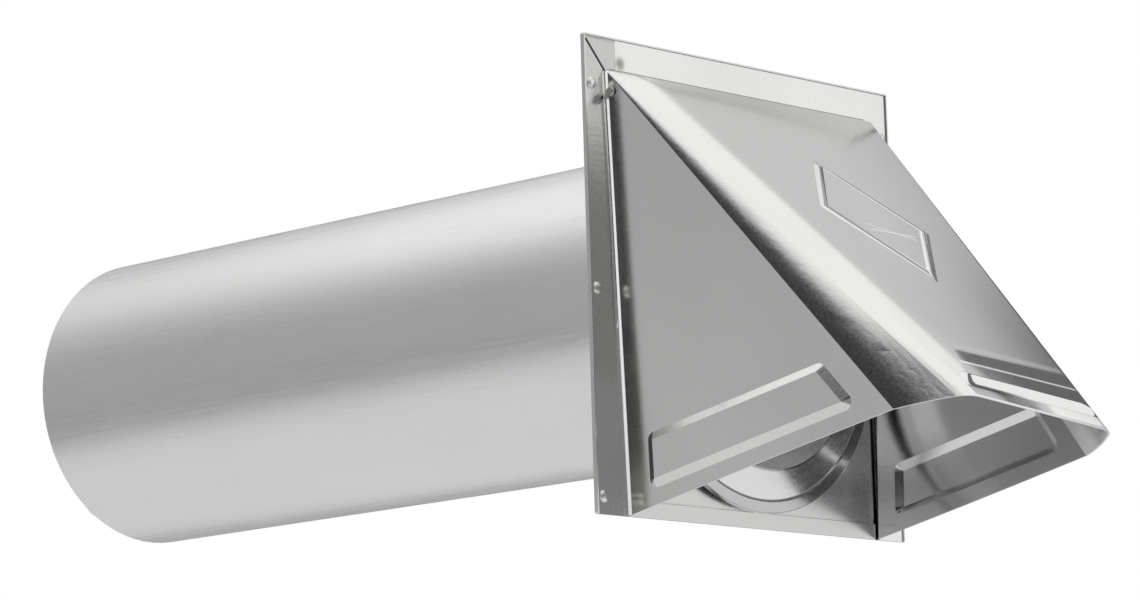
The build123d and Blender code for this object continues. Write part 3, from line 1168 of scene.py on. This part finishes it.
def mesh_from_nodes(name: str, tree: bpy.types.NodeTree, values: dict[str, float]) -> bpy.types.Object:
    """Turns a Geometry Nodes tree into a plain mesh.

    Args:
        name: The finished object's name.
        tree: The tree.
        values: The tree's inputs by name.

    Returns:
        The object, with no modifier.
    """
    carrier = bpy.data.objects.new(name, bpy.data.meshes.new(name + "_seed"))
    bpy.context.scene.collection.objects.link(carrier)
    modifier = carrier.modifiers.new("shape", "NODES")
    modifier.node_group = tree
    for socket in tree.interface.items_tree:
        if socket.in_out == "INPUT" and socket.name in values:
            modifier[socket.identifier] = values[socket.name]
    carrier.update_tag()
    graph = bpy.context.evaluated_depsgraph_get()
    mesh = bpy.data.meshes.new_from_object(carrier.evaluated_get(graph), depsgraph=graph)
    carrier.modifiers.remove(modifier)
    carrier.data = mesh
    mesh.name = name
    return carrier


@dataclass
class TailPipe:
    """The rolled pipe through the wall."""

    finish: SheetFinish = SheetFinish(
        Slot.PIPE,
        roughness=0.3,
        grain=Grain.ALONG_Y,
        grain_depth=5.0e-7,
        wave_depth=2.0e-5,
        mottle_depth=2.0e-6,
    )

    def dress(self) -> None:
        """Dresses the pipe."""
        dress("tail_pipe", self.finish.build())


@dataclass(frozen=True)
class FlapFinish(SheetFinish):
    """The flap's sheet: a leaning darker rim, and painted shade in the crease, on the middle and on a band of
    the back.
    """

    round_centre: Point = (0.0, 0.0, -0.015)
    rim_start: float = 0.0516
    rim_turn: float = 0.0008
    rim_lean: float = 0.22
    rim_tone: float = 0.62
    crease_edge: Span = (0.00008, 0.00025)
    crease_shade_tone: float = 0.3
    middle_edge: Span = (0.0422, 0.0425)
    middle_shade_tone: float = 0.48
    edge_start: float = 0.0553
    back_start: float = 0.0505
    back_facing: float = 0.3
    back_shade_tone: float = 0.03

    def lean(self, tree: NodeTree, place: Socket, normal: Socket) -> Socket:
        """Leans the rim's normal outwards.

        Args:
            tree: The material.
            place: Object coordinates.
            normal: The sheet's own normal.

        Returns:
            The leaning normal.
        """
        outwards = tree.vector("MULTIPLY", tree.vector("SUBTRACT", place, self.round_centre), ACROSS_Y)
        reach = tree.flat_distance(place, self.round_centre)
        begun = tree.rise(reach, (self.rim_start, self.rim_start + self.rim_turn))
        amount = tree.product(begun, self.rim_lean, tree.math("LESS_THAN", reach, self.edge_start))
        tilt = tree.vector("SCALE", tree.vector("NORMALIZE", outwards), amount)
        return tree.vector("NORMALIZE", tree.vector("ADD", normal, tilt))

    def shade(self, tree: NodeTree, place: Socket, colour: Socket) -> Socket:
        """Darkens the rim, and paints shade on the middle, in the crease between them and on the back's outer
        band.

        Args:
            tree: The material.
            place: Object coordinates.
            colour: The sheet's own colour.

        Returns:
            The colour with its darker rim and painted shade.
        """
        reach = tree.flat_distance(place, self.round_centre)
        beyond = tree.math("GREATER_THAN", reach, self.rim_start)
        on_rim = tree.product(beyond, tree.math("LESS_THAN", reach, self.edge_start))
        normal = tree.add("ShaderNodeNewGeometry").outputs["True Normal"]
        backward = tree.math("GREATER_THAN", tree.split(normal)["Y"], self.back_facing)
        shaded_back = tree.product(backward, tree.math("GREATER_THAN", reach, self.back_start))
        # Painted shade: the back's outer band is near black, so the plate beside the flap reflects a dark
        # gap; the middle and the crease are darkened too.
        for mask, tone in (
            (on_rim, self.rim_tone),
            (shaded_back, self.back_shade_tone),
            (tree.fall(reach, self.middle_edge), self.middle_shade_tone),
            (tree.band(reach, self.rim_start, self.crease_edge), self.crease_shade_tone),
        ):
            colour = tree.tint(mask, colour, tone)
        return colour


@dataclass
class Damper:
    """The flap and the wire that it hangs from."""

    flap: SheetFinish = FlapFinish(Slot.FLAP, roughness=0.2, wave_depth=3.0e-5)
    rod: SheetFinish = SheetFinish(Slot.ROD, pale=(0.62, 0.62, 0.62), dull=(0.5, 0.5, 0.5), roughness=0.35)

    def dress(self) -> None:
        """Dresses the flap and its rod."""
        dress("damper_flap", self.flap.build())
        dress("damper_rod", self.rod.build())


@dataclass(frozen=True)
class TentPatch:
    """A soft-edged card on the tent's wall, as the metal sees it.

    Angles are in degrees; the azimuth runs from +X towards +Y.
    """

    azimuth: float
    elevation: float
    half_width: float
    half_height: float
    softness: float
    level: float

    def middle(self) -> Vector:
        """The direction of the card's middle."""
        turn, climb = math.radians(self.azimuth), math.radians(self.elevation)
        return Vector((math.cos(climb) * math.cos(turn), math.cos(climb) * math.sin(turn), math.sin(climb)))

    def sideways(self) -> Vector:
        """The level direction along the card."""
        turn = math.radians(self.azimuth)
        return Vector((-math.sin(turn), math.cos(turn), 0.0))

    def paint(self, tree: NodeTree, direction: Socket, under: Socket) -> Socket:
        """Lays the card over what is there.

        Args:
            tree: The tent's material.
            direction: The direction from the tent's middle.
            under: The level so far.

        Returns:
            The level with the card.
        """
        facing = tree.vector("DOT_PRODUCT", direction, tuple(self.middle()))
        masks = [tree.math("GREATER_THAN", facing, 0.0)]
        upwards = self.middle().cross(self.sideways())
        for axis, half in ((self.sideways(), self.half_width), (upwards, self.half_height)):
            away = tree.math("ABSOLUTE", tree.vector("DOT_PRODUCT", direction, tuple(axis)))
            inner = math.sin(math.radians(max(half - self.softness, 0.0)))
            outer = math.sin(math.radians(min(half + self.softness, 90.0)))
            masks.append(tree.fall(away, (inner, outer)))
        inputs = {"Factor": tree.product(*masks), "A": under, "B": self.level}
        return tree.add("ShaderNodeMix", inputs).outputs["Result"]


@dataclass(frozen=True)
class SoftLamp:
    """A square lamp that points at the origin. Lengths are in metres, its power is in watts."""

    name: str
    place: Point
    size: float
    power: float

    def build(self) -> None:
        """Hangs the lamp, out of the metal's reflections."""
        data = bpy.data.lights.new(self.name, "AREA")
        data.size = self.size
        data.energy = self.power
        lamp = bpy.data.objects.new(self.name, data)
        lamp.location = self.place
        lamp.rotation_euler = (-Vector(self.place)).to_track_quat("-Z", "Y").to_euler()
        lamp.visible_glossy = False
        bpy.context.scene.collection.objects.link(lamp)


@dataclass
class Studio:
    """Camera, white surroundings, plain lamps, and the tent whose walls the bare metal reflects."""

    place: Point = (-1.038335, -0.912434, -0.232795)
    azimuth: float = 313.628
    elevation: float = -9.569
    roll: float = -1.701
    lens: float = 138.72
    sensor_width: float = 36.0
    view_end: float = 20.0
    diffuse_strength: float = 0.75
    floor_level: float = -0.3
    floor_half: float = 6.0
    floor_roughness: float = 0.8
    floor_cloud_scale: float = 3.0
    floor_tones: Span = (0.86, 0.90)
    tent_radius: float = 4.0
    tent_levels: Levels = (
        (-90.0, 0.66),
        (-45.0, 0.70),
        (-30.0, 0.72),
        (-23.0, 0.64),
        (-18.0, 0.36),
        (-8.0, 0.36),
        (5.0, 0.40),
        (20.0, 0.40),
        (31.0, 0.52),
        (38.0, 0.72),
        (45.0, 1.0),
        (90.0, 1.0),
    )
    patches: tuple[TentPatch, ...] = (
        TentPatch(14.0, 40.0, 36.0, 8.0, 4.0, 0.64),
        TentPatch(22.0, 12.0, 30.0, 13.0, 4.0, 0.15),
        TentPatch(258.0, 2.0, 34.0, 16.0, 6.0, 0.22),
        TentPatch(243.0, 29.0, 11.0, 9.0, 4.0, 1.0),
        TentPatch(188.0, 15.0, 27.0, 30.0, 8.0, 0.04),
        TentPatch(154.0, 0.0, 10.0, 8.0, 6.0, 0.50),
        TentPatch(318.0, 10.0, 25.0, 20.0, 6.0, 0.95),
        TentPatch(318.0, -24.0, 25.0, 18.0, 4.0, 0.82),
    )
    lamps: tuple[SoftLamp, ...] = (
        SoftLamp("key_lamp", (-0.9, -1.1, 1.6), 1.4, 22.0),
        SoftLamp("fill_lamp", (1.2, 0.6, 1.5), 1.4, 12.0),
    )

    def camera(self) -> None:
        """Places the camera."""
        turn, climb, roll = (math.radians(angle) for angle in (self.azimuth, self.elevation, self.roll))
        level = math.cos(climb)
        ahead = Vector((-math.sin(turn) * level, math.cos(turn) * level, -math.sin(climb)))
        right = ahead.cross(Vector((0.0, 0.0, 1.0))).normalized()
        above = right.cross(ahead)
        leaning = right * math.cos(roll) + above * math.sin(roll)
        upright = above * math.cos(roll) - right * math.sin(roll)
        data = bpy.data.cameras.new("camera")
        data.lens = self.lens
        data.sensor_width = self.sensor_width
        data.clip_end = self.view_end
        body = bpy.data.objects.new("camera", data)
        axes = Matrix((leaning, upright, -ahead)).transposed().to_4x4()
        body.matrix_world = Matrix.Translation(self.place) @ axes
        bpy.context.scene.collection.objects.link(body)
        bpy.context.scene.camera = body

    def world(self) -> None:
        """Makes the surroundings white to the eye and plain to the light."""
        world = bpy.data.worlds.new("surroundings")
        world.use_nodes = True
        tree = NodeTree(world.node_tree)
        world.node_tree.nodes.clear()
        path = tree.add("ShaderNodeLightPath").outputs
        seen = tree.larger(path["Is Camera Ray"], path["Is Glossy Ray"], path["Is Transmission Ray"])
        strength = tree.remap(seen, 0.0, 1.0, self.diffuse_strength, 1.0)
        light = tree.add("ShaderNodeBackground", {"Color": WHITE, "Strength": strength})
        tree.add("ShaderNodeOutputWorld", {"Surface": light.outputs[0]})
        world.cycles.sampling_method = "NONE"
        bpy.context.scene.world = world

    def floor(self) -> None:
        """Lays the pale floor under the cap."""
        mesh = bpy.data.meshes.new("floor")
        half, level = self.floor_half, self.floor_level
        corners = [(-half, -half, level), (half, -half, level), (half, half, level), (-half, half, level)]
        mesh.from_pydata(corners, [], [(0, 1, 2, 3)])
        floor = bpy.data.objects.new("floor", mesh)
        material = bpy.data.materials.new("pale_floor")
        material.use_nodes = True
        tree = NodeTree(material.node_tree)
        shader = material.node_tree.nodes["Principled BSDF"]
        shader.inputs["Roughness"].default_value = self.floor_roughness
        place = tree.add("ShaderNodeTexCoord").outputs["Object"]
        inputs = {"Vector": place, "Scale": self.floor_cloud_scale, "Detail": 2.0}
        cloud = tree.add("ShaderNodeTexNoise", inputs).outputs["Fac"]
        shade = tree.blend_colours(cloud, *((tone, tone, tone, 1.0) for tone in self.floor_tones))
        tree.feed(shader.inputs["Base Color"], shade)
        mesh.materials.append(material)
        floor.visible_glossy = False
        bpy.context.scene.collection.objects.link(floor)

    def tent(self) -> None:
        """Hangs the tent. Only the metal's reflections see it."""
        shell = bmesh.new()
        bmesh.ops.create_uvsphere(shell, u_segments=64, v_segments=32, radius=self.tent_radius)
        bmesh.ops.reverse_faces(shell, faces=shell.faces)
        mesh = bpy.data.meshes.new("tent")
        shell.to_mesh(mesh)
        shell.free()
        material = bpy.data.materials.new("tent_cloth")
        material.use_nodes = True
        material.node_tree.nodes.clear()
        tree = NodeTree(material.node_tree)
        place = tree.add("ShaderNodeTexCoord").outputs["Object"]
        direction = tree.vector("NORMALIZE", place)
        share = tree.math("MULTIPLY_ADD", tree.split(direction)["Z"], 0.5, 0.5)
        levels = [((math.sin(math.radians(angle)) + 1.0) / 2.0, level) for angle, level in self.tent_levels]
        level = tree.profile(share, tuple(levels))
        for patch in self.patches:
            level = patch.paint(tree, direction, level)
        glow = tree.add("ShaderNodeEmission", {"Color": WHITE, "Strength": level})
        tree.add("ShaderNodeOutputMaterial", {"Surface": glow.outputs[0]})
        material.cycles.emission_sampling = "NONE"
        mesh.materials.append(material)
        tent = bpy.data.objects.new("tent", mesh)
        for ray in ("camera", "diffuse", "shadow", "transmission", "volume_scatter"):
            setattr(tent, "visible_" + ray, False)
        bpy.context.scene.collection.objects.link(tent)

    def build(self) -> None:
        """Builds the whole studio."""
        self.camera()
        self.world()
        self.floor()
        self.tent()
        for lamp in self.lamps:
            lamp.build()
        bpy.context.scene.view_settings.view_transform = "Standard"


def main() -> None:
    """Builds the sub-assemblies in order and reports each."""
    logging.basicConfig(level=logging.INFO, format="%(name)s: %(message)s")
    rolled_sheet_group()
    scratches_group()
    RoofPress().build()
    inner_face_group()
    joint_shade_group()
    Studio().build()
    FoldedHood().dress()
    RivetRows().build()
    TailPipe().dress()
    Damper().dress()


if __name__ == "__main__":
    main()
